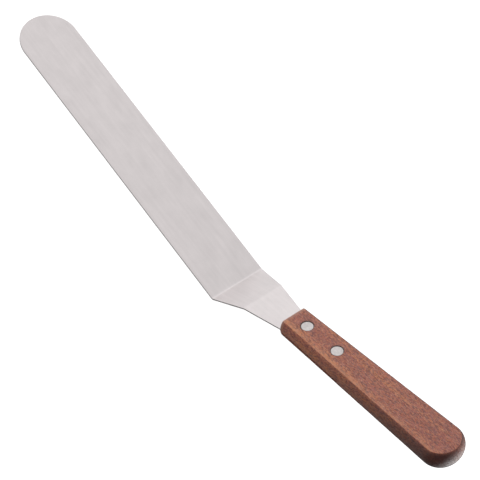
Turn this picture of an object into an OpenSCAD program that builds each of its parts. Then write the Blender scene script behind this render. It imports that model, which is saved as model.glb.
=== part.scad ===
// Offset spatula: a bent sheet blade held in the kerf of a one-piece wooden handle by two
// cutler's rivets, each a tube half and a post half.
//
// +X points to the blade's tip, +Z is up, and the blade's underside lies on z = 0. The origin
// is the middle of the spatula's footprint. All sizes are in millimetres.

/* [Blade] */
// Length of the flat blade, from the corner of the first bend to the tip
blade_len = 216; // [150:1:300]
// Width of the blade, which is also the diameter of its half-round tip
blade_w = 38; // [34:0.5:50]
// Thickness of the sheet
sheet_t = 1; // [0.8:0.1:1.5]

/* [Neck] */
// Slope of the neck between the two bends, in degrees
neck_slope = 40.5; // [30:0.5:60]
// Length of the neck between the corners of the two bends
neck_len = 25; // [18:0.5:40]
// Width of the neck at the second bend
neck_w = 28.5; // [24:0.5:34]
// Radius of the sheet's middle plane in the first bend
bend1_r = 3; // [2:0.5:6]
// Radius of the sheet's middle plane in the second bend
bend2_r = 5; // [3:0.5:8]

/* [Tang] */
// Slope of the tang and of the handle, in degrees
handle_slope = 24; // [15:0.5:28]
// Length from the corner of the second bend to the handle's front end
shoulder_len = 27; // [20:0.5:40]
// Width of the sheet where it enters the handle
tang_w = 17.6; // [15:0.2:19]
// Width of the tang's half-round end
tang_end_w = 15; // [12:0.5:15]

/* [Handle] */
// Length of the handle
handle_len = 131; // [110:0.5:160]
// Greatest width of the handle at its front end
handle_front_w = 20.2; // [20:0.2:24]
// Greatest width of the handle where its butt starts
handle_butt_w = 26.6; // [24:0.2:32]
// Length of the handle's rounded butt
butt_len = 12; // [8:0.5:14]
// Thickness of the handle
handle_t = 12; // [11:0.5:14]
// Distance of the tang below the middle of the handle's thickness
tang_drop = 1; // [0:0.1:1.5]
// How far the sides bulge out past the edges of the flat faces
side_bulge = 2.3; // [1:0.1:4]
// Radius that softens the edges of the flat faces
edge_r = 0.6; // [0.3:0.1:1]
// Width of the bevel round the handle's front end
front_bevel = 0.5; // [0.2:0.1:1]
// Depth of the saw kerf past the tang's end
kerf_spare = 5; // [0.5:0.5:10]

/* [Rivets] */
// Distance of the front rivet from the handle's front end
front_rivet_x = 12.3; // [9:0.1:14]
// Distance between the two rivets
rivet_pitch = 25; // [20:0.1:28]
// Diameter of the rivet heads
head_d = 7.2; // [6.4:0.1:8]
// Thickness of the rivet heads
head_t = 1.2; // [0.8:0.1:2]
// Outer diameter of the tube half, and of its hole in the wood
barrel_d = 5; // [4.4:0.1:5.6]
// Diameter of the post half, and of the bore that it is pressed into
post_d = 3.2; // [2.4:0.1:3.4]

/* [Hidden] */
$fn = 64;

steel = [0.80, 0.79, 0.79];
rivet_steel = [0.84, 0.84, 0.85];
wood = [0.60, 0.36, 0.28];

// Gaps: round a head in its seat, round a barrel in the tang, and at the closed rivet's ends
seat_gap = 0.1;
tang_hole_gap = 0.1;
end_gap = 0.4;
// How far a cutting shape runs past the face that it cuts
past = 5;
// Flats that make up one bend of the sheet
bend_steps = 16;

// Directions of the neck and of the tang, seen from the side and towards the butt
neck_dir = [-cos(neck_slope), sin(neck_slope)];
tang_dir = [-cos(handle_slope), sin(handle_slope)];
// Corner of the second bend and front end of the handle, on the sheet's middle plane, counted
// from the corner of the first bend
bend2 = neck_len * neck_dir;
front = bend2 + shoulder_len * tang_dir;
// Straight sheet used up on each side of a bend's corner, and the second bend's centre
bend1_run = bend1_r * tan(neck_slope / 2);
bend2_run = bend2_r * tan((neck_slope - handle_slope) / 2);
bend2_centre = bend2 - bend2_run * neck_dir - bend2_r * [sin(neck_slope), cos(neck_slope)];

// The tang ends in a half circle round the rear rivet
rear_rivet_x = front_rivet_x + rivet_pitch;
tang_end_r = tang_end_w / 2;
kerf_len = rear_rivet_x + tang_end_r + kerf_spare;

// Heights of the handle's upper and lower faces above the tang's middle plane
handle_top = handle_t / 2 + tang_drop;
handle_bottom = handle_top - handle_t;
// Radius of the arc that is the handle's side in cross-section, and half the angle it spans
side_r = (pow(handle_t / 2, 2) + pow(side_bulge, 2)) / (2 * side_bulge);
side_angle = asin(handle_t / 2 / side_r);
side_steps = 12;

// The butt is turned round a centre and squashed lengthwise
butt_r = handle_butt_w / 2;
butt_squash = butt_len / butt_r;
butt_x = handle_len - butt_len;

// Furthest point behind the first bend, and the shift that centres the footprint on the origin
back_x = front[0] - (butt_x + butt_squash * (butt_r - side_r)) * cos(handle_slope)
         + tang_drop * sin(handle_slope)
         - side_r * norm([butt_squash * cos(handle_slope), sin(handle_slope)]);
origin_x = (blade_len + back_x) / 2;

// ---- Places ----

// From the frame of the first bend's corner, on the sheet's middle plane, to the part's frame
module at_heel() {
    translate([-origin_x, 0, sheet_t / 2]) children();
}

// From the handle's own frame to the part's: x runs from the front end to the butt, z is the
// normal of the tang, and the origin is on the tang's middle plane
module at_handle() {
    at_heel() translate([front[0], 0, front[1]])
        rotate([0, handle_slope, 0]) rotate([0, 0, 180]) children();
}

// ---- Blade ----

// Points along an arc, from one direction to another
function arc(centre, r, from, to, steps) =
    [for (i = [0:steps]) let (a = from + (to - from) * i / steps)
        centre + r * [cos(a), sin(a)]];

// The sheet's side view at a height above its middle plane, from the tip to the tang's end:
// blade, first bend upward, neck, second bend back, tang
function side_line(above) = concat(
    [[blade_len, above]],
    arc([bend1_run, bend1_r], bend1_r - above, -90, -90 - neck_slope, bend_steps),
    arc(bend2_centre, bend2_r + above, 90 - neck_slope, 90 - handle_slope, bend_steps),
    [front + (rear_rivet_x + blade_w) * tang_dir + above * [tang_dir[1], -tang_dir[0]]]);

// The sheet, bent along its whole length but still as wide as the blade
module bent_sheet() {
    lower = side_line(-sheet_t / 2);
    lower_from_tang = [for (i = [len(lower) - 1:-1:0]) lower[i]];
    rotate([90, 0, 0]) translate([0, 0, -blade_w])
        linear_extrude(2 * blade_w) polygon(concat(side_line(sheet_t / 2), lower_from_tang));
}

// The sheet's outline from above: half-round tip, parallel blade, tapered neck, and the tang,
// which narrows to an end that is half round in the tang's own plane
module outline() {
    tip_r = blade_w / 2;
    end_steps = 16;
    tang_end = [for (p = arc([rear_rivet_x, 0], tang_end_r, 90, -90, end_steps))
        [front[0] - p[0] * cos(handle_slope), p[1]]];
    translate([blade_len - tip_r, 0]) circle(r = tip_r, $fn = 128);
    polygon(concat(
        [[blade_len - tip_r, -tip_r], [blade_len - tip_r, tip_r], [0, tip_r],
         [bend2[0], neck_w / 2], [front[0], tang_w / 2]],
        tang_end,
        [[front[0], -tang_w / 2], [bend2[0], -neck_w / 2], [0, -tip_r]]));
}

module blade() {
    color(steel) difference() {
        at_heel() intersection() {
            bent_sheet();
            translate([0, 0, -past]) linear_extrude(front[1] + blade_w + past) outline();
        }
        for (x = [front_rivet_x, rear_rivet_x])
            at_handle() translate([x, 0, -past])
                cylinder(d = barrel_d + 2 * tang_hole_gap, h = 2 * past);
    }
}

// ---- Handle ----

// The handle's cross-section for a greatest width: two flat faces and two bulging sides
module cross_section(width) {
    side = arc([width / 2 - side_r, tang_drop], side_r, -side_angle, side_angle, side_steps);
    other_side = [for (i = [len(side) - 1:-1:0]) [-side[i][0], side[i][1]]];
    offset(r = edge_r, $fn = 32) offset(delta = -edge_r) polygon(concat(side, other_side));
}

// A thin slice of the handle at x, drawn smaller all round by a margin
module slice(x, width, margin) {
    translate([x, 0, 0]) rotate([90, 0, 90])
        linear_extrude(front_bevel / 10) offset(delta = -margin) cross_section(width);
}

// The butt: half of the cross-section turned round its upright middle line, then squashed
module butt() {
    scale([butt_squash, 1, 1]) rotate_extrude() intersection() {
        cross_section(handle_butt_w);
        translate([0, handle_bottom]) square([butt_r, handle_t]);
    }
}

module handle_blank() {
    hull() {
        slice(0, handle_front_w, front_bevel);
        slice(front_bevel, handle_front_w, 0);
        translate([butt_x, 0, 0]) butt();
    }
}

// The hole for the rivet at x, with a seat for a head in each face
module rivet_hole(x) {
    seat_d = head_d + 2 * seat_gap;
    translate([x, 0, handle_bottom - past]) {
        cylinder(d = barrel_d, h = handle_t + 2 * past);
        cylinder(d = seat_d, h = past + head_t);
    }
    translate([x, 0, handle_top - head_t]) cylinder(d = seat_d, h = head_t + past);
}

module handle() {
    color(wood) at_handle() difference() {
        handle_blank();
        translate([-past, -handle_butt_w, -sheet_t / 2])
            cube([kerf_len + past, 2 * handle_butt_w, sheet_t]);
        rivet_hole(front_rivet_x);
        rivet_hole(rear_rivet_x);
    }
}

// ---- Rivets ----

// The female half, at x: a head in the handle's upper face, and a barrel with a blind bore
module rivet_tube(x) {
    barrel_end = handle_bottom + head_t + end_gap;
    barrel_top = handle_top - head_t / 2;
    bore_top = handle_top - 2 * head_t;
    color(rivet_steel) at_handle() translate([x, 0, 0]) difference() {
        union() {
            translate([0, 0, handle_top - head_t]) cylinder(d = head_d, h = head_t);
            translate([0, 0, barrel_end]) cylinder(d = barrel_d, h = barrel_top - barrel_end);
        }
        translate([0, 0, barrel_end - past]) cylinder(d = post_d, h = bore_top + past - barrel_end);
    }
}

// The male half, at x: a head in the handle's lower face, and a solid post with a bevelled end
module rivet_post(x) {
    post_start = handle_bottom + head_t / 2;
    post_end = handle_top - 2 * head_t - end_gap;
    bevel = post_d / 6;
    color(rivet_steel) at_handle() translate([x, 0, 0]) {
        translate([0, 0, handle_bottom]) cylinder(d = head_d, h = head_t);
        translate([0, 0, post_start]) cylinder(d = post_d, h = post_end - bevel - post_start);
        translate([0, 0, post_end - bevel])
            cylinder(d1 = post_d, d2 = post_d - 2 * bevel, h = bevel);
    }
}

module front_rivet_tube() { rivet_tube(front_rivet_x); }
module front_rivet_post() { rivet_post(front_rivet_x); }
module rear_rivet_tube() { rivet_tube(rear_rivet_x); }
module rear_rivet_post() { rivet_post(rear_rivet_x); }

blade();
handle();
front_rivet_tube();
front_rivet_post();
rear_rivet_tube();
rear_rivet_post();
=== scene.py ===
# Looks of the offset spatula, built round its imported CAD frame. Everything is in metres.

import math

import bmesh
import bpy
from mathutils import Matrix, Vector, noise


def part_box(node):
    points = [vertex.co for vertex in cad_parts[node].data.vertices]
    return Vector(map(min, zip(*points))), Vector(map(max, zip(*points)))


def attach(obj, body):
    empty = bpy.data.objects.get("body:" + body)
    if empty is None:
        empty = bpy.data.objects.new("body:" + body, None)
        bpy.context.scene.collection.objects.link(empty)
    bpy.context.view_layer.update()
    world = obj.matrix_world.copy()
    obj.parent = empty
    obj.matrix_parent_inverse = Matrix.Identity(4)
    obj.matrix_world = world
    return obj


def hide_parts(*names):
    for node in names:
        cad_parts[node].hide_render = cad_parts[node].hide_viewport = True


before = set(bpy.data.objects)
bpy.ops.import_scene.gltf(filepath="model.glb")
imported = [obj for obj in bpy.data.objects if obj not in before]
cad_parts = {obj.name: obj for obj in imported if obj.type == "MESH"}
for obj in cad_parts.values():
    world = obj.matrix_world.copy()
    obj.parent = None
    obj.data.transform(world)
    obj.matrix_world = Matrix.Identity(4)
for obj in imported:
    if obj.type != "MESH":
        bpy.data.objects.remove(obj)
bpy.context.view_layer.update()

MM = 0.001

# ---- Driving dimensions, as in the CAD model ----

BLADE_LEN = 216 * MM
BLADE_W = 38 * MM
SHEET_T = 1 * MM
NECK_SLOPE = math.radians(40.5)
NECK_LEN = 25 * MM
NECK_W = 28.5 * MM
BEND1_R = 3 * MM
BEND2_R = 5 * MM
HANDLE_SLOPE = math.radians(24)
SHOULDER_LEN = 27 * MM
TANG_W = 17.6 * MM
TANG_END_W = 15 * MM
HANDLE_LEN = 131 * MM
HANDLE_FRONT_W = 20.2 * MM
HANDLE_BUTT_W = 26.6 * MM
BUTT_LEN = 12 * MM
HANDLE_T = 12 * MM
TANG_DROP = 1 * MM
SIDE_BULGE = 2.3 * MM
ARRIS_R = 0.6 * MM
FRONT_R = 0.5 * MM
FRONT_RUN = 1.1 * MM
KERF_SPARE = 5 * MM
FRONT_RIVET = 12.3 * MM
RIVET_PITCH = 25 * MM
HEAD_D = 7.2 * MM
HEAD_T = 1.2 * MM
BARREL_D = 5 * MM
POST_D = 3.2 * MM
SEAT_GAP = 0.1 * MM
END_GAP = 0.4 * MM

# ---- Places worked out from them ----

REAR_RIVET = FRONT_RIVET + RIVET_PITCH
KERF_LEN = REAR_RIVET + TANG_END_W / 2 + KERF_SPARE
HANDLE_TOP = HANDLE_T / 2 + TANG_DROP
HANDLE_BOTTOM = HANDLE_TOP - HANDLE_T
SIDE_R = ((HANDLE_T / 2) ** 2 + SIDE_BULGE ** 2) / (2 * SIDE_BULGE)
BUTT_R = HANDLE_BUTT_W / 2
BUTT_X = HANDLE_LEN - BUTT_LEN
BUTT_SQUASH = BUTT_LEN / BUTT_R

# The first bend's corner on the sheet's middle plane, found from where the blade's tip is
HEEL = Vector((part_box("blade")[1].x - BLADE_LEN, 0, SHEET_T / 2))
NECK_DIR = Vector((-math.cos(NECK_SLOPE), 0, math.sin(NECK_SLOPE)))
TANG_DIR = Vector((-math.cos(HANDLE_SLOPE), 0, math.sin(HANDLE_SLOPE)))
BEND2 = HEEL + NECK_LEN * NECK_DIR
FRONT = BEND2 + SHOULDER_LEN * TANG_DIR

# From the handle's own axes (x from its front end to its butt, z up from the tang) to the frame
AT_HANDLE = (Matrix.Translation(FRONT) @ Matrix.Rotation(HANDLE_SLOPE, 4, "Y")
             @ Matrix.Rotation(math.pi, 4, "Z"))


# ---- Mesh helpers ----

MERGE_GAP = 0.002 * MM
SHORTEST_EDGE = 0.001 * MM


def spread(low, high, steps):
    """steps + 1 values from low to high."""
    return [low + (high - low) * i / steps for i in range(steps + 1)]


def add_loft(bm, loops, caps=(False, False)):
    """Joins closed loops of points, all of one length, into a tube, with a face over an end if asked."""
    rings = [[bm.verts.new(p) for p in loop] for loop in loops]
    count = len(rings[0])
    for a, b in zip(rings, rings[1:]):
        for i in range(count):
            j = (i + 1) % count
            bm.faces.new((a[i], a[j], b[j], b[i]))
    if caps[0]:
        bm.faces.new(list(reversed(rings[0])))
    if caps[1]:
        bm.faces.new(rings[-1])


def close_up(bm):
    """Merges points that meet, drops faces with no area and makes the rest face the same way."""
    bmesh.ops.remove_doubles(bm, verts=bm.verts, dist=MERGE_GAP)
    bmesh.ops.dissolve_degenerate(bm, edges=bm.edges, dist=SHORTEST_EDGE)
    bmesh.ops.recalc_face_normals(bm, faces=bm.faces)


def piece_from(bm, name):
    """A new object that holds bm's mesh."""
    mesh = bpy.data.meshes.new(name)
    bm.to_mesh(mesh)
    bm.free()
    piece = bpy.data.objects.new(name, mesh)
    bpy.context.scene.collection.objects.link(piece)
    return piece


def apply_modifiers(piece):
    """Replaces the piece's mesh by the result of its modifiers."""
    bpy.context.view_layer.update()
    shown = piece.evaluated_get(bpy.context.evaluated_depsgraph_get())
    mesh = bpy.data.meshes.new_from_object(shown)
    piece.modifiers.clear()
    piece.data = mesh


def cut(piece, cutters):
    """Takes the cutters' solids out of the piece and removes them."""
    for cutter in cutters:
        modifier = piece.modifiers.new("cut", "BOOLEAN")
        modifier.operation = "DIFFERENCE"
        modifier.solver = "EXACT"
        modifier.object = cutter
    apply_modifiers(piece)
    for cutter in cutters:
        bpy.data.objects.remove(cutter)
    bm = bmesh.new()
    bm.from_mesh(piece.data)
    close_up(bm)
    bm.to_mesh(piece.data)
    bm.free()


def smooth(piece, sharp_deg=35):
    """Smooth shading that keeps edges sharper than an angle."""
    bm = bmesh.new()
    bm.from_mesh(piece.data)
    limit = math.radians(sharp_deg)
    for face in bm.faces:
        face.smooth = True
    for edge in bm.edges:
        edge.smooth = len(edge.link_faces) == 2 and edge.calc_face_angle(0) < limit
    bm.to_mesh(piece.data)
    bm.free()


def cylinder(name, radius, low, high, place, sides=64):
    """A plain cylinder along its own z from low to high, moved by a matrix. It is only used as a cutter."""
    bm = bmesh.new()
    angles = [2 * math.pi * i / sides for i in range(sides)]
    ring = [(radius * math.cos(a), radius * math.sin(a)) for a in angles]
    add_loft(bm, [[(x, y, z) for x, y in ring] for z in (low, high)], caps=(True, True))
    close_up(bm)
    bm.transform(place)
    return piece_from(bm, name)


def hand_over(piece, node, material):
    """Gives a piece its material, and puts it in its CAD node's place on the frame."""
    piece.data.materials.clear()
    piece.data.materials.append(material)
    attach(piece, "root")
    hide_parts(node)


# ---- Node helpers ----

def new_material(name):
    """A new material, its node tree and its shader."""
    material = bpy.data.materials.new(name)
    material.use_nodes = True
    tree = material.node_tree
    return material, tree, tree.nodes["Principled BSDF"]


def add_node(tree, kind, **settings):
    """Adds a node. A setting names a property of the node, or one of its inputs with spaces as _."""
    node = tree.nodes.new(kind)
    for key, value in settings.items():
        if hasattr(node, key):
            setattr(node, key, value)
        else:
            socket = node.inputs[key.replace("_", " ")]
            if isinstance(value, bpy.types.NodeSocket):
                tree.links.new(value, socket)
            else:
                socket.default_value = value
    return node


def maths(tree, operation, *values, clamp=False):
    """A Math node. Each value is a number or another node's output."""
    node = tree.nodes.new("ShaderNodeMath")
    node.operation = operation
    node.use_clamp = clamp
    for i, value in enumerate(values):
        if isinstance(value, bpy.types.NodeSocket):
            tree.links.new(value, node.inputs[i])
        else:
            node.inputs[i].default_value = value
    return node.outputs[0]


def ramp(tree, factor, stops):
    """A Color Ramp from stops of (position, grey or colour)."""
    node = tree.nodes.new("ShaderNodeValToRGB")
    elements = node.color_ramp.elements
    while len(elements) < len(stops):
        elements.new(1.0)
    for element, (position, colour) in zip(elements, stops):
        element.position = position
        element.color = (*colour, 1) if isinstance(colour, tuple) else (colour, colour, colour, 1)
    tree.links.new(factor, node.inputs["Fac"])
    return node.outputs["Color"]


def blend(tree, factor, a, b, kind="MIX"):
    """Mixes colours a and b, each a colour or another node's output."""
    node = tree.nodes.new("ShaderNodeMix")
    node.data_type = "RGBA"
    node.blend_type = kind
    for socket, value in ((node.inputs[0], factor), (node.inputs[6], a), (node.inputs[7], b)):
        if isinstance(value, bpy.types.NodeSocket):
            tree.links.new(value, socket)
        elif isinstance(value, tuple):
            socket.default_value = (*value, 1)
        else:
            socket.default_value = value
    return node.outputs[2]


def stretched(tree, coordinates, size, offset=(0, 0, 0)):
    """Coordinates moved by an offset, then divided by a size along each axis, so that a noise of scale 1
    has features of about that size."""
    moved = add_node(tree, "ShaderNodeMapping", vector_type="POINT", Vector=coordinates, Location=offset)
    scale = tuple(1 / s for s in size)
    scaled = add_node(tree, "ShaderNodeVectorMath", operation="MULTIPLY")
    tree.links.new(moved.outputs[0], scaled.inputs[0])
    scaled.inputs[1].default_value = scale
    return scaled.outputs[0]


def noise_of(tree, vector, detail=2.0, roughness=0.5):
    """The grey value of a Noise texture."""
    node = add_node(tree, "ShaderNodeTexNoise", Vector=vector, Scale=1.0, Detail=detail, Roughness=roughness)
    return node.outputs["Fac"]


# ---- Materials ----

STEEL_COLOUR = (0.70, 0.655, 0.655)
STEEL_SCRATCH = (0.40, 0.40, 0.41)
STEEL_ROUGHNESS = 0.36
RIVET_DARK = (0.52, 0.485, 0.475)
RIVET_LIGHT = (0.65, 0.61, 0.60)
RIVET_MARK = (0.40, 0.40, 0.42)
WOOD_DARK = (0.43, 0.106, 0.062)
WOOD_MIDDLE = (0.51, 0.150, 0.080)
WOOD_LIGHT = (0.63, 0.205, 0.088)
WOOD_PATCH = (0.44, 0.126, 0.092)
WOOD_RAY = (0.80, 0.34, 0.15)
WOOD_PORE = (0.125, 0.040, 0.040)
WOOD_FINE_PORE = (0.120, 0.038, 0.030)
PALE_STRIP_WOOD = (0.86, 0.37, 0.17)
FRONT_WOOD = (0.50, 0.27, 0.20)
# Painted shade on the handle's sides
SHADED_WOOD = (0.050, 0.014, 0.014)
# Painted shadows round the rivet heads, on the wood and on the heads
RIVET_SHADOW_ON_WOOD = (0.055, 0.022, 0.020)
RIVET_SHADOW_ON_HEAD = (0.10, 0.05, 0.045)

# How far the centre of each painted shadow ring lies from its rivet's axis, along and across the handle
RIVET_SHADOW_SHIFT = (-0.16 * MM, 0.22 * MM)


def satin_steel(name, colour, roughness):
    """Sheet steel ground along its length: fine lengthwise scratches and faint cloudy patches."""
    material, tree, shader = new_material(name)
    flat = add_node(tree, "ShaderNodeAttribute", attribute_name="flat_place").outputs["Vector"]
    scratches = noise_of(tree, stretched(tree, flat, (9 * MM, 0.09 * MM, 1)), detail=3, roughness=0.65)
    long_streaks = noise_of(tree, stretched(tree, flat, (45 * MM, 2.2 * MM, 1)), detail=2)
    clouds = noise_of(tree, stretched(tree, flat, (16 * MM, 10 * MM, 1)), detail=3, roughness=0.6)
    streaked = maths(tree, "MULTIPLY", long_streaks, 0.35)
    clouded = maths(tree, "MULTIPLY", clouds, 0.65)
    mottling = maths(tree, "ADD", streaked, clouded)
    dark = tuple(c * 0.925 for c in colour)
    light = tuple(min(1, c * 1.05) for c in colour)
    tone = ramp(tree, mottling, [(0.34, dark), (0.66, light)])
    tone = blend(tree, maths(tree, "MULTIPLY", scratches, 0.09), tone, STEEL_SCRATCH)
    tree.links.new(tone, shader.inputs["Base Color"])
    shader.inputs["Metallic"].default_value = 1.0
    rough = maths(tree, "MULTIPLY_ADD", clouds, 0.10, roughness - 0.05)
    rough = maths(tree, "MULTIPLY_ADD", scratches, 0.08, rough)
    tree.links.new(rough, shader.inputs["Roughness"])
    bump = add_node(tree, "ShaderNodeBump", Strength=0.14, Distance=0.012 * MM, Height=scratches)
    tree.links.new(bump.outputs[0], shader.inputs["Normal"])
    return material


def wood_figure(tree, place):
    """The wood's colour without its pores: long bands, duller patches and short paler rays."""
    bands = noise_of(tree, stretched(tree, place, (110 * MM, 3.2 * MM, 4.5 * MM)))
    colour = ramp(tree, bands, [(0.34, WOOD_DARK), (0.50, WOOD_MIDDLE), (0.64, WOOD_LIGHT)])
    patches = noise_of(tree, stretched(tree, place, (9 * MM, 3 * MM, 5 * MM), offset=(0.3, 0.1, 0)), detail=3)
    colour = blend(tree, ramp(tree, patches, [(0.44, 0.0), (0.60, 0.65)]), colour, WOOD_PATCH)
    rays = stretched(tree, place, (1.4 * MM, 0.55 * MM, 0.25 * MM), offset=(0, 0.4, 0))
    rays = noise_of(tree, rays, detail=1)
    return blend(tree, ramp(tree, rays, [(0.52, 0.0), (0.66, 0.55)]), colour, WOOD_RAY)


def wood_pores(tree, place):
    """Masks of the coarse pores and of the fine ones."""
    coarse = noise_of(tree, stretched(tree, place, (1.7 * MM, 0.40 * MM, 0.40 * MM)), roughness=0.6)
    fine = noise_of(tree, stretched(tree, place, (1.0 * MM, 0.15 * MM, 0.15 * MM), offset=(0.1, 0, 0.2)))
    return ramp(tree, coarse, [(0.48, 0.0), (0.58, 1.0)]), ramp(tree, fine, [(0.53, 0.0), (0.64, 1.0)])


def add_lacquer(tree, shader, place):
    """A thin coat that is uneven in thickness and in height, as if brushed on."""
    brushed = noise_of(tree, stretched(tree, place, (2.5 * MM, 0.9 * MM, 0.9 * MM)), detail=3, roughness=0.6)
    tree.links.new(ramp(tree, brushed, [(0.40, 0.35), (0.60, 1.0)]), shader.inputs["Coat Weight"])
    shader.inputs["Coat Roughness"].default_value = 0.24
    bump = add_node(tree, "ShaderNodeBump", Strength=0.7, Distance=0.08 * MM, Height=brushed)
    tree.links.new(bump.outputs[0], shader.inputs["Coat Normal"])


def handle_wood():
    """Reddish-brown hardwood with its grain along the handle, fine dark pores and a thin lacquer, with
    painted shade that darkens its sides towards the butt and painted shadows round the rivet heads."""
    material, tree, shader = new_material("handle_wood")
    place = add_node(tree, "ShaderNodeAttribute", attribute_name="wood_place").outputs["Vector"]
    flecks, fine_flecks = wood_pores(tree, place)
    colour = wood_figure(tree, place)
    colour = blend(tree, maths(tree, "MULTIPLY", flecks, 0.74), colour, WOOD_PORE)
    colour = blend(tree, maths(tree, "MULTIPLY", fine_flecks, 0.45), colour, WOOD_FINE_PORE)
    colour = blend(tree, pale_edge_strip(tree, place), colour, PALE_STRIP_WOOD)
    colour = blend(tree, front_edge(tree, place), colour, FRONT_WOOD)
    # Painted shade on the sides and towards the butt, and a dark line along the far upper edge
    colour = blend(tree, painted_shade(tree, place), colour, SHADED_WOOD)
    # Painted shadow round each rivet head
    colour = blend(tree, painted_rivet_shadow(tree, place), colour, RIVET_SHADOW_ON_WOOD)
    tree.links.new(colour, shader.inputs["Base Color"])
    rough = maths(tree, "MULTIPLY_ADD", flecks, 0.16, 0.42)
    tree.links.new(rough, shader.inputs["Roughness"])
    shader.inputs["Specular IOR Level"].default_value = 0.25
    depth = maths(tree, "MULTIPLY_ADD", fine_flecks, 0.5, flecks)
    bump = add_node(tree, "ShaderNodeBump", invert=True, Strength=0.45, Distance=0.06 * MM, Height=depth)
    tree.links.new(bump.outputs[0], shader.inputs["Normal"])
    add_lacquer(tree, shader, place)
    return material


def pale_edge_strip(tree, place):
    """Paler wood in a narrow uneven strip of the flat faces along one long edge."""
    taper = (HANDLE_BUTT_W - HANDLE_FRONT_W) / 2 / BUTT_X
    parts = add_node(tree, "ShaderNodeSeparateXYZ", Vector=place)
    edge = maths(tree, "MULTIPLY_ADD", parts.outputs["X"], taper, HANDLE_FRONT_W / 2 - SIDE_BULGE)
    inside = maths(tree, "ADD", edge, parts.outputs["Y"])
    strip = add_node(tree, "ShaderNodeMapRange", Value=inside, From_Min=0.6 * MM, From_Max=3.2 * MM,
                     To_Min=0.42, To_Max=0.0)
    uneven = noise_of(tree, stretched(tree, place, (14 * MM, 2.5 * MM, 9 * MM)), detail=3)
    paled = maths(tree, "MULTIPLY", strip.outputs[0], ramp(tree, uneven, [(0.36, 0.15), (0.58, 1.0)]))
    facing = add_node(tree, "ShaderNodeAttribute", attribute_name="wood_facing").outputs["Vector"]
    upward = add_node(tree, "ShaderNodeSeparateXYZ", Vector=facing).outputs["Z"]
    level = maths(tree, "ABSOLUTE", upward)
    flat = add_node(tree, "ShaderNodeMapRange", Value=level, From_Min=0.80, From_Max=0.96)
    return maths(tree, "MULTIPLY", paled, flat.outputs[0])


def front_edge(tree, place):
    """Paler wood in a narrow strip behind the softened edge of the handle's front end."""
    along = add_node(tree, "ShaderNodeSeparateXYZ", Vector=place).outputs["X"]
    return add_node(tree, "ShaderNodeMapRange", Value=along, From_Min=0.8 * MM, From_Max=2.4 * MM,
                    To_Min=0.60, To_Max=0.0).outputs[0]


def from_rivets(tree, place, shift, near, far, strength):
    """A mask round both rivets' axes, moved sideways by a shift. It changes from 0 at a near distance to
    a strength at a far one, or the other way round if far is less than near."""
    masks = []
    for x in (FRONT_RIVET, REAR_RIVET):
        flat = add_node(tree, "ShaderNodeVectorMath", operation="MULTIPLY")
        tree.links.new(place, flat.inputs[0])
        flat.inputs[1].default_value = (1, 1, 0)
        gap = add_node(tree, "ShaderNodeVectorMath", operation="DISTANCE")
        tree.links.new(flat.outputs[0], gap.inputs[0])
        gap.inputs[1].default_value = (x + shift[0], shift[1], 0)
        mask = add_node(tree, "ShaderNodeMapRange", Value=gap.outputs["Value"], From_Min=near, From_Max=far,
                        To_Min=0.0, To_Max=strength)
        masks.append(mask.outputs[0])
    return masks


def painted_rivet_shadow(tree, place):
    """Painted shadow on the wood in a ring round each rivet head, most of it on one side."""
    rings = from_rivets(tree, place, RIVET_SHADOW_SHIFT, HEAD_D / 2 + 0.75 * MM, HEAD_D / 2 + 0.1 * MM, 0.80)
    return maths(tree, "ADD", rings[0], rings[1], clamp=True)


def painted_head_shadow(tree, place):
    """Painted shadow over the edge of each rivet head, on the same side."""
    head_shadows = from_rivets(tree, place, (-RIVET_SHADOW_SHIFT[0], -RIVET_SHADOW_SHIFT[1]), HEAD_D / 2 - 0.1 * MM,
                       HEAD_D / 2 + 0.15 * MM, 0.75)
    return maths(tree, "MINIMUM", head_shadows[0], head_shadows[1])


def painted_shade(tree, place):
    """How much darker the wood is painted: painted shade on the sides, more and more towards the butt and
    less so on the far one, and a dark line along the far upper edge."""
    facing = add_node(tree, "ShaderNodeAttribute", attribute_name="wood_facing").outputs["Vector"]
    parts = add_node(tree, "ShaderNodeSeparateXYZ", Vector=facing)
    along = add_node(tree, "ShaderNodeSeparateXYZ", Vector=place).outputs["X"]
    side = maths(tree, "SUBTRACT", 1.0, maths(tree, "ABSOLUTE", parts.outputs["Z"]))
    side = add_node(tree, "ShaderNodeMapRange", Value=side, From_Min=0.12, From_Max=0.50,
                    To_Min=0.10, To_Max=1.0)
    behind = maths(tree, "POWER", maths(tree, "DIVIDE", along, HANDLE_LEN, clamp=True), 1.5)
    far_side = add_node(tree, "ShaderNodeMapRange", Value=parts.outputs["Y"], From_Min=0.08, From_Max=0.35,
                        To_Min=0.0, To_Max=0.80)
    upper = add_node(tree, "ShaderNodeMapRange", Value=parts.outputs["Z"], From_Min=0.30, From_Max=0.60)
    far_edge_line = maths(tree, "MULTIPLY", far_side.outputs[0], upper.outputs[0])
    near_side = add_node(tree, "ShaderNodeMapRange", Value=parts.outputs["Y"], From_Min=-0.30, From_Max=0.30,
                         To_Min=0.93, To_Max=0.40)
    behind = maths(tree, "MULTIPLY", behind, near_side.outputs[0])
    # Painted shade on the sides, growing towards the butt and weaker on the far side
    shaded_sides = maths(tree, "MULTIPLY", side.outputs[0], behind)
    return maths(tree, "MAXIMUM", shaded_sides, far_edge_line, clamp=True)


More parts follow.
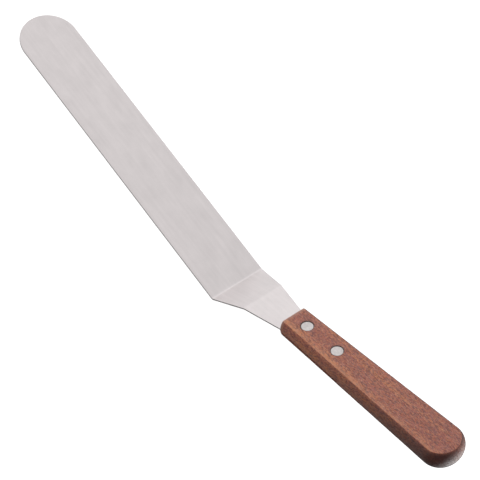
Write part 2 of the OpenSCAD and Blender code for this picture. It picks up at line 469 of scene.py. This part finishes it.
def rivet_metal():
    """Bright metal sanded flush with the wood, so that its marks run along the handle."""
    material, tree, shader = new_material("rivet_metal")
    place = add_node(tree, "ShaderNodeAttribute", attribute_name="wood_place").outputs["Vector"]
    marks = noise_of(tree, stretched(tree, place, (3 * MM, 0.10 * MM, 0.10 * MM)), detail=3, roughness=0.7)
    clouds = noise_of(tree, stretched(tree, place, (1.6 * MM, 1.6 * MM, 1.6 * MM)), detail=2)
    colour = ramp(tree, clouds, [(0.3, RIVET_DARK), (0.7, RIVET_LIGHT)])
    colour = blend(tree, maths(tree, "MULTIPLY", marks, 0.22), colour, RIVET_MARK)
    # Painted shadow over one side of each head's edge
    colour = blend(tree, painted_head_shadow(tree, place), colour, RIVET_SHADOW_ON_HEAD)
    tree.links.new(colour, shader.inputs["Base Color"])
    shader.inputs["Metallic"].default_value = 1.0
    tree.links.new(maths(tree, "MULTIPLY_ADD", marks, 0.20, 0.32), shader.inputs["Roughness"])
    bump = add_node(tree, "ShaderNodeBump", Strength=0.3, Distance=0.015 * MM, Height=marks)
    tree.links.new(bump.outputs[0], shader.inputs["Normal"])
    return material


# ---- Blade ----

EDGE_R = 0.22 * MM
EDGE_STEPS = 4
SHEET_COLUMNS = 18
BLADE_STEPS = 50
NECK_STEPS = 8
TANG_STEPS = 26
BEND1_STEPS = 14
BEND2_STEPS = 8
TIP_STEPS = 28
TANG_END_STEPS = 16
HOLE_REACH = 5 * MM


def half_width(x):
    """Half the sheet's width at a distance in front of the first bend's corner, seen from above."""
    bend2_x = BEND2.x - HEEL.x
    front_x = FRONT.x - HEEL.x
    rear_x = front_x - REAR_RIVET * math.cos(HANDLE_SLOPE)
    stops = [(rear_x, TANG_END_W / 2), (front_x, TANG_W / 2), (bend2_x, NECK_W / 2), (0, BLADE_W / 2)]
    for (x0, w0), (x1, w1) in zip(stops, stops[1:]):
        if x < x1:
            return w0 + (w1 - w0) * max(0, x - x0) / (x1 - x0)
    return BLADE_W / 2


def bend_stations(corner, radius, turn_from, turn_to, steps):
    """Points of the sheet's middle line round a bend, each with its slope from the blade's plane."""
    run = radius * math.tan(abs(turn_to - turn_from) / 2)
    side = 1 if turn_to > turn_from else -1
    start = corner - run * Vector((-math.cos(turn_from), 0, math.sin(turn_from)))
    centre = start + side * radius * Vector((math.sin(turn_from), 0, math.cos(turn_from)))
    return [(centre - side * radius * Vector((math.sin(a), 0, math.cos(a))), a)
            for a in spread(turn_from, turn_to, steps)]


def sheet_line():
    """The sheet's middle line from the tip's centre to the tang's end circle, as points with slopes."""
    tip_centre = HEEL + Vector((BLADE_LEN - BLADE_W / 2, 0, 0))
    first = bend_stations(HEEL, BEND1_R, 0, NECK_SLOPE, BEND1_STEPS)
    second = bend_stations(BEND2, BEND2_R, NECK_SLOPE, HANDLE_SLOPE, BEND2_STEPS)
    end = FRONT + REAR_RIVET * TANG_DIR
    blade = [(tip_centre.lerp(first[0][0], t), 0) for t in spread(0, 1, BLADE_STEPS)]
    neck = [(first[-1][0].lerp(second[0][0], t), NECK_SLOPE) for t in spread(0, 1, NECK_STEPS)]
    tang = [(second[-1][0].lerp(end, t), HANDLE_SLOPE) for t in spread(0, 1, TANG_STEPS)]
    return blade[:-1] + first + neck[1:-1] + second + tang[1:]


def sheet_loop(centre, slope, half, sideways=1.0, forward=0.0, end_sign=1):
    """One loop round the sheet: flat columns over and under it, and softened edges. At a round end,
    sideways and forward are the cosine and sine of the angle from the edge to the end, and end_sign is 1
    at the tip and -1 at the tang's end."""
    along = Vector((math.cos(slope), 0, -math.sin(slope))) * end_sign
    normal = Vector((math.sin(slope), 0, math.cos(slope)))
    edge = [(EDGE_R * (1 - math.sin(a)), SHEET_T / 2 - EDGE_R * (1 - math.cos(a)))
            for a in spread(0, math.pi / 2, EDGE_STEPS)]
    edge += [(inset, -height) for inset, height in reversed(edge)]
    columns = spread(-1, 1, SHEET_COLUMNS)[1:-1]

    def at(reach, fraction, height):
        across = Vector((0, reach * sideways * fraction, 0))
        return centre + along * (reach * forward) + across + normal * height

    flat = half - EDGE_R
    loop = [at(flat, f, SHEET_T / 2) for f in columns]
    loop += [at(half - inset, 1, height) for inset, height in edge]
    loop += [at(flat, f, -SHEET_T / 2) for f in reversed(columns)]
    loop += [at(half - inset, -1, height) for inset, height in reversed(edge)]
    return loop


def store_flat_coordinates(piece, line):
    """Stores each point's place on the unbent sheet, as (along, across, 0)."""
    lengths = [0.0]
    for (a, _), (b, _) in zip(line, line[1:]):
        lengths.append(lengths[-1] + (b - a).length)
    layer = piece.data.attributes.new("flat_place", "FLOAT_VECTOR", "POINT")
    for i, vertex in enumerate(piece.data.vertices):
        best = None
        for k, ((a, _), (b, _)) in enumerate(zip(line, line[1:])):
            step = b - a
            t = (vertex.co - a).dot(step) / step.length_squared
            # Only the first and the last stretch of the line run on past their ends.
            t = max(t, 0.0) if k > 0 else t
            t = min(t, 1.0) if k < len(line) - 2 else t
            nearest = a + step * t
            gap = (nearest.x - vertex.co.x) ** 2 + (nearest.z - vertex.co.z) ** 2
            if best is None or gap < best[0]:
                best = (gap, lengths[k] + step.length * t)
        layer.data[i].vector = (best[1], vertex.co.y, 0)


def make_blade(material):
    """One bent sheet: half-round tip, blade, neck and tang, with the tang's two rivet holes."""
    line = sheet_line()
    tip, end = line[0], line[-1]
    loops = []
    for a in reversed(spread(0, math.pi / 2, TIP_STEPS)[1:]):
        loops.append(sheet_loop(tip[0], 0, BLADE_W / 2, math.cos(a), math.sin(a), 1))
    for centre, slope in line:
        loops.append(sheet_loop(centre, slope, half_width(centre.x - HEEL.x)))
    for a in spread(0, math.pi / 2, TANG_END_STEPS)[1:]:
        loops.append(sheet_loop(end[0], HANDLE_SLOPE, TANG_END_W / 2, math.cos(a), math.sin(a), -1))
    bm = bmesh.new()
    add_loft(bm, loops)
    close_up(bm)
    piece = piece_from(bm, "blade_sheet")
    hole_r = BARREL_D / 2 + SEAT_GAP
    places = [AT_HANDLE @ Matrix.Translation((x, 0, 0)) for x in (FRONT_RIVET, REAR_RIVET)]
    cut(piece, [cylinder("hole", hole_r, -HOLE_REACH, HOLE_REACH, place) for place in places])
    store_flat_coordinates(piece, line)
    smooth(piece)
    hand_over(piece, "blade", material)


# ---- Handle ----

SIDE_STEPS = 16
ARRIS_STEPS = 4
FACE_COLUMNS = 14
FRONT_STEPS = 6
LENGTH_STEPS = 110
BUTT_STEPS = 28
SANDING_DEPTH = 0.06 * MM
SANDING_WAVE = (14 * MM, 6 * MM, 6 * MM)
CUTTER_OVERRUN = 2 * MM
KERF_GAP = 0.03 * MM
KERF_CUTTER_START = -5 * MM
KERF_CUTTER_REACH = 20 * MM


def side_profile(half, inset=0.0):
    """One side of the handle's cross-section from the upper face's edge to the lower face's edge, as (y, z),
    with the two edges rounded. inset draws it smaller all round."""
    r = SIDE_R - inset
    half_t = HANDLE_T / 2 - inset
    centre = half - SIDE_R
    # The small circle that rounds an edge touches the flat face and the side's arc from inside.
    small_z = half_t - ARRIS_R
    reach = r - ARRIS_R
    small_y = math.sqrt(reach * reach - small_z * small_z)
    touch = math.asin(small_z / reach)
    upper = [(centre + small_y + ARRIS_R * math.cos(a), small_z + ARRIS_R * math.sin(a))
             for a in spread(math.pi / 2, touch, ARRIS_STEPS)]
    side = [(centre + r * math.cos(a), r * math.sin(a)) for a in spread(touch, -touch, SIDE_STEPS)[1:-1]]
    lower = [(y, -z) for y, z in reversed(upper)]
    return [(y, z + TANG_DROP) for y, z in upper + side + lower]


def handle_loop(place, half, inset=0.0, sideways=1.0, forward=0.0):
    """One loop round the handle at a place along it. In the butt, sideways and forward are the cosine and
    sine of the angle round the butt's upright middle line."""
    profile = side_profile(half, inset)
    (top_y, top_z), (low_y, low_z) = profile[0], profile[-1]
    columns = spread(-1, 1, FACE_COLUMNS)[1:-1]

    def at(y, fraction, z):
        return (place + y * forward * BUTT_SQUASH, y * sideways * fraction, z)

    loop = [at(top_y, f, top_z) for f in columns]
    loop += [at(y, 1, z) for y, z in profile]
    loop += [at(low_y, f, low_z) for f in reversed(columns)]
    loop += [at(y, -1, z) for y, z in reversed(profile)]
    return loop


def handle_loops():
    """Loops from the front end, over its softened edge, along the handle and round the butt."""
    loops = []
    for a in spread(0, math.pi / 2, FRONT_STEPS):
        place = FRONT_RUN * (1 - math.sin(a))
        inset = FRONT_R * (1 - math.cos(a))
        loops.append(handle_loop(place, HANDLE_FRONT_W / 2, inset))
    loops.reverse()
    for x in spread(FRONT_RUN, BUTT_X, LENGTH_STEPS)[1:]:
        t = (x - FRONT_RUN) / (BUTT_X - FRONT_RUN)
        loops.append(handle_loop(x, (HANDLE_FRONT_W + (HANDLE_BUTT_W - HANDLE_FRONT_W) * t) / 2))
    for a in spread(0, math.pi / 2, BUTT_STEPS)[1:]:
        loops.append(handle_loop(BUTT_X, BUTT_R, 0, math.cos(a), math.sin(a)))
    return loops


def hand_sanded(bm):
    """Moves points inwards by a few hundredths of a millimetre at most, in long soft waves."""
    bm.normal_update()
    for vertex in bm.verts:
        wave = noise.noise(Vector([at / length for at, length in zip(vertex.co, SANDING_WAVE)]))
        vertex.co -= vertex.normal * SANDING_DEPTH * abs(wave)


def rivet_seat(x):
    """Cutters for one rivet's hole, and for the seats of its two heads."""
    place = AT_HANDLE @ Matrix.Translation((x, 0, 0))
    seat_r = HEAD_D / 2 + SEAT_GAP
    low = HANDLE_BOTTOM - CUTTER_OVERRUN
    high = HANDLE_TOP + CUTTER_OVERRUN
    return [cylinder("bore", BARREL_D / 2, low, high, place),
            cylinder("upper_seat", seat_r, HANDLE_TOP - HEAD_T, high, place),
            cylinder("lower_seat", seat_r, low, HANDLE_BOTTOM + HEAD_T, place)]


def kerf_cutter():
    """A flat slab that saws the slot for the tang."""
    half_t = SHEET_T / 2 + KERF_GAP
    reach = KERF_CUTTER_REACH
    corners = [(-reach, -half_t), (reach, -half_t), (reach, half_t), (-reach, half_t)]
    bm = bmesh.new()
    add_loft(bm, [[(x, y, z) for y, z in corners] for x in (KERF_CUTTER_START, KERF_LEN)], caps=(True, True))
    close_up(bm)
    bm.transform(AT_HANDLE)
    return piece_from(bm, "kerf")


def store_wood_coordinates(piece):
    """Stores each point's place and normal in the handle's own axes, for the grain and the painted shade."""
    place = piece.data.attributes.new("wood_place", "FLOAT_VECTOR", "POINT")
    facing = piece.data.attributes.new("wood_facing", "FLOAT_VECTOR", "POINT")
    back = AT_HANDLE.inverted()
    turn = back.to_3x3()
    for i, vertex in enumerate(piece.data.vertices):
        place.data[i].vector = back @ vertex.co
        facing.data[i].vector = turn @ vertex.normal


def make_handle(material):
    """One piece of wood: two flat faces, bulging sides, half-round butt, sawn kerf and rivet seats."""
    bm = bmesh.new()
    add_loft(bm, handle_loops(), caps=(True, False))
    close_up(bm)
    hand_sanded(bm)
    bm.transform(AT_HANDLE)
    bmesh.ops.recalc_face_normals(bm, faces=bm.faces)
    piece = piece_from(bm, "wooden_handle")
    cut(piece, [kerf_cutter()] + rivet_seat(FRONT_RIVET) + rivet_seat(REAR_RIVET))
    store_wood_coordinates(piece)
    smooth(piece)
    hand_over(piece, "handle", material)


# ---- Rivets ----

RIVET_SIDES = 72
HEAD_EDGE_R = 0.18 * MM
HEAD_SAG = 0.05 * MM
HEAD_SINK = 0.15 * MM


def head_profile(outer, face, inward):
    """Half of a head's outline from the middle of its face to its underside, as (r, z). inward is the sign
    of z towards the wood. The face lies a little below the wood's, slightly domed, with a faint dimple."""
    dimple_r, dimple_depth = 0.55 * MM, 0.05 * MM
    flat = outer - HEAD_EDGE_R
    underside = face + inward * HEAD_T
    face += inward * HEAD_SINK
    points = [(r, face + inward * dimple_depth * (1 - r / dimple_r) ** 2) for r in spread(0, dimple_r, 3)]
    points += [(r, face + inward * HEAD_SAG * (r / flat) ** 4) for r in spread(dimple_r, flat, 8)[1:]]
    for a in spread(math.pi / 2, 0, 4)[1:]:
        r = flat + HEAD_EDGE_R * math.cos(a)
        points.append((r, face + inward * (HEAD_SAG + HEAD_EDGE_R * (1 - math.sin(a)))))
    points.append((outer, underside))
    return points


def turned(name, profile, x):
    """A piece turned about a rivet's axis from a half outline of (r, z) that starts and ends on the axis.
    Its faces point inwards, which is a fault that is still open."""
    bm = bmesh.new()
    angles = [2 * math.pi * i / RIVET_SIDES for i in range(RIVET_SIDES)]
    loops = [[(r * math.cos(a), r * math.sin(a), z) for a in angles] for r, z in profile]
    add_loft(bm, loops)
    close_up(bm)
    bm.transform(AT_HANDLE @ Matrix.Translation((x, 0, 0)))
    bmesh.ops.recalc_face_normals(bm, faces=bm.faces)
    return piece_from(bm, name)


def make_rivet_tube(name, node, x, material):
    """The female half: a head in the upper face, and a barrel with a blind bore and a broken mouth."""
    mouth = HANDLE_BOTTOM + HEAD_T + END_GAP
    bore_top = HANDLE_TOP - 2 * HEAD_T
    barrel_r, bore_r, chamfer = BARREL_D / 2, POST_D / 2, 0.25 * MM
    under = HANDLE_TOP - HEAD_T
    profile = head_profile(HEAD_D / 2, HANDLE_TOP, -1)
    profile += [(barrel_r + chamfer, under), (barrel_r, under - chamfer), (barrel_r, mouth + chamfer)]
    profile += [(barrel_r - chamfer, mouth), (bore_r + chamfer, mouth), (bore_r, mouth + chamfer)]
    profile += [(bore_r, bore_top - chamfer), (bore_r - chamfer, bore_top), (0, bore_top)]
    piece = turned(name, profile, x)
    finish_rivet(piece, node, material)


def make_rivet_post(name, node, x, material):
    """The male half: a head in the lower face, and a solid post with a bevelled end."""
    under = HANDLE_BOTTOM + HEAD_T
    end = HANDLE_TOP - 2 * HEAD_T - END_GAP
    post_r, fillet = POST_D / 2, 0.2 * MM
    bevel = POST_D / 6
    profile = head_profile(HEAD_D / 2, HANDLE_BOTTOM, 1)
    profile += [(post_r + fillet, under), (post_r, under + fillet)]
    profile += [(post_r, end - bevel), (post_r - bevel, end), (0, end)]
    piece = turned(name, profile, x)
    finish_rivet(piece, node, material)


def finish_rivet(piece, node, material):
    """Stores what the rivet's material reads, smooths the piece and puts it in its node's place."""
    store_wood_coordinates(piece)
    smooth(piece)
    hand_over(piece, node, material)


# ---- Stage ----

FLOOR_DROP = 0.05 * MM
FLOOR_REACH = 4.0
FLOOR_GLOW = 0.75

# Directions that parts of the surround are centred on, and their grey levels from the far side of the
# surround (0) to that direction (1)
BRIGHT_TOWARDS = (0.83, -0.47, 0.31)
BRIGHT_STOPS = [(0.0, 0.08), (0.20, 0.14), (0.38, 0.38), (0.60, 0.50),
                (0.84, 0.78), (0.95, 1.08), (1.0, 1.24)]
DARK_TOWARDS = (0.26, -0.43, -0.86)
DARK_STOPS = [(0.82, 1.0), (0.96, 0.10)]
CARD_TOWARDS = (-0.84, -0.36, -0.40)
CARD_STOPS = [(0.79, 0.0), (0.87, 0.14), (0.93, 0.45), (0.975, 1.0)]
CARD_STRENGTH = 2.5

SOFTBOX_PLACE = Vector((0.15, -0.35, 1.6))
SOFTBOX_SIZE = 1.6
SOFTBOX_POWER = 1.8

CAMERA_AZIMUTH = math.radians(209.92)
CAMERA_ELEVATION = math.radians(59.6)
CAMERA_ROLL = math.radians(25.78)
CAMERA_DISTANCE = 900 * MM
CAMERA_TARGET = HEEL + Vector((16.9 * MM, -9.5 * MM, 19.4 * MM))
CAMERA_SENSOR = 36
CAMERA_LENS = 115.13


def make_floor():
    """A plain pale floor just under the blade."""
    material, _, shader = new_material("floor")
    shader.inputs["Base Color"].default_value = (0.80, 0.80, 0.80, 1)
    shader.inputs["Roughness"].default_value = 0.9
    shader.inputs["Specular IOR Level"].default_value = 0.1
    shader.inputs["Emission Color"].default_value = (1, 1, 1, 1)
    shader.inputs["Emission Strength"].default_value = FLOOR_GLOW
    bm = bmesh.new()
    corners = [(-1, -1), (1, -1), (1, 1), (-1, 1)]
    bm.faces.new([bm.verts.new((FLOOR_REACH * x, FLOOR_REACH * y, -FLOOR_DROP)) for x, y in corners])
    floor = piece_from(bm, "floor")
    floor.data.materials.append(material)
    floor.visible_diffuse = False
    floor.visible_glossy = False


def surround(tree, direction, stops):
    """Grey levels of the studio's walls by how nearly they lie in a direction, from 0 (opposite) to 1."""
    place = add_node(tree, "ShaderNodeTexCoord").outputs["Generated"]
    facing = add_node(tree, "ShaderNodeVectorMath", operation="DOT_PRODUCT")
    tree.links.new(place, facing.inputs[0])
    facing.inputs[1].default_value = Vector(direction).normalized()
    level = maths(tree, "MULTIPLY_ADD", facing.outputs["Value"], 0.5, 0.5)
    return ramp(tree, level, stops)


def make_light():
    """Soft studio light: a surround that is bright in front of the tip and dark opposite, a dark patch in it
    below and beyond the spatula, a white card low down behind the butt, and one large faint softbox."""
    world = bpy.data.worlds.new("studio")
    bpy.context.scene.world = world
    world.use_nodes = True
    tree = world.node_tree
    walls = surround(tree, BRIGHT_TOWARDS, BRIGHT_STOPS)
    walls = blend(tree, 1.0, walls, surround(tree, DARK_TOWARDS, DARK_STOPS), "MULTIPLY")
    card = surround(tree, CARD_TOWARDS, CARD_STOPS)
    card = add_node(tree, "ShaderNodeVectorMath", operation="SCALE", Vector=card, Scale=CARD_STRENGTH)
    glow = blend(tree, 1.0, walls, card.outputs[0], "ADD")
    tree.links.new(glow, tree.nodes["Background"].inputs["Color"])
    tree.nodes["Background"].inputs["Strength"].default_value = 1.0
    add_softbox("softbox", SOFTBOX_PLACE, Vector((0, 0, 0)), SOFTBOX_SIZE, SOFTBOX_POWER)


def add_softbox(name, place, target, size, power):
    """A square area light that faces a target."""
    data = bpy.data.lights.new(name, "AREA")
    data.shape = "SQUARE"
    data.size = size
    data.energy = power
    light = bpy.data.objects.new(name, data)
    turn = (target - place).to_track_quat("-Z", "Y").to_matrix().to_4x4()
    light.matrix_world = Matrix.Translation(place) @ turn
    bpy.context.scene.collection.objects.link(light)


def make_camera():
    """The camera, from its target, its direction, its distance and its turn about its own axis."""
    away = Vector((math.sin(CAMERA_AZIMUTH), -math.cos(CAMERA_AZIMUTH), 0))
    back = away * math.cos(CAMERA_ELEVATION) + Vector((0, 0, math.sin(CAMERA_ELEVATION)))
    level = Vector((math.cos(CAMERA_AZIMUTH), math.sin(CAMERA_AZIMUTH), 0))
    upright = back.cross(level)
    right = level * math.cos(CAMERA_ROLL) + upright * math.sin(CAMERA_ROLL)
    up = upright * math.cos(CAMERA_ROLL) - level * math.sin(CAMERA_ROLL)
    data = bpy.data.cameras.new("camera")
    data.sensor_width = CAMERA_SENSOR
    data.lens = CAMERA_LENS
    camera = bpy.data.objects.new("camera", data)
    turn = Matrix((right, up, back)).transposed().to_4x4()
    camera.matrix_world = Matrix.Translation(CAMERA_TARGET + back * CAMERA_DISTANCE) @ turn
    bpy.context.scene.collection.objects.link(camera)
    bpy.context.scene.camera = camera


# ---- Build ----

make_camera()
make_light()
make_floor()
blade_steel = satin_steel("blade_steel", STEEL_COLOUR, STEEL_ROUGHNESS)
wood = handle_wood()
rivet_steel = rivet_metal()
make_blade(blade_steel)
make_handle(wood)
for end, place in (("front", FRONT_RIVET), ("rear", REAR_RIVET)):
    make_rivet_tube(f"{end}_rivet_tube_half", f"{end}_rivet_tube", place, rivet_steel)
    make_rivet_post(f"{end}_rivet_post_half", f"{end}_rivet_post", place, rivet_steel)

bpy.context.scene.view_settings.view_transform = "Standard"

bpy.context.view_layer.update()
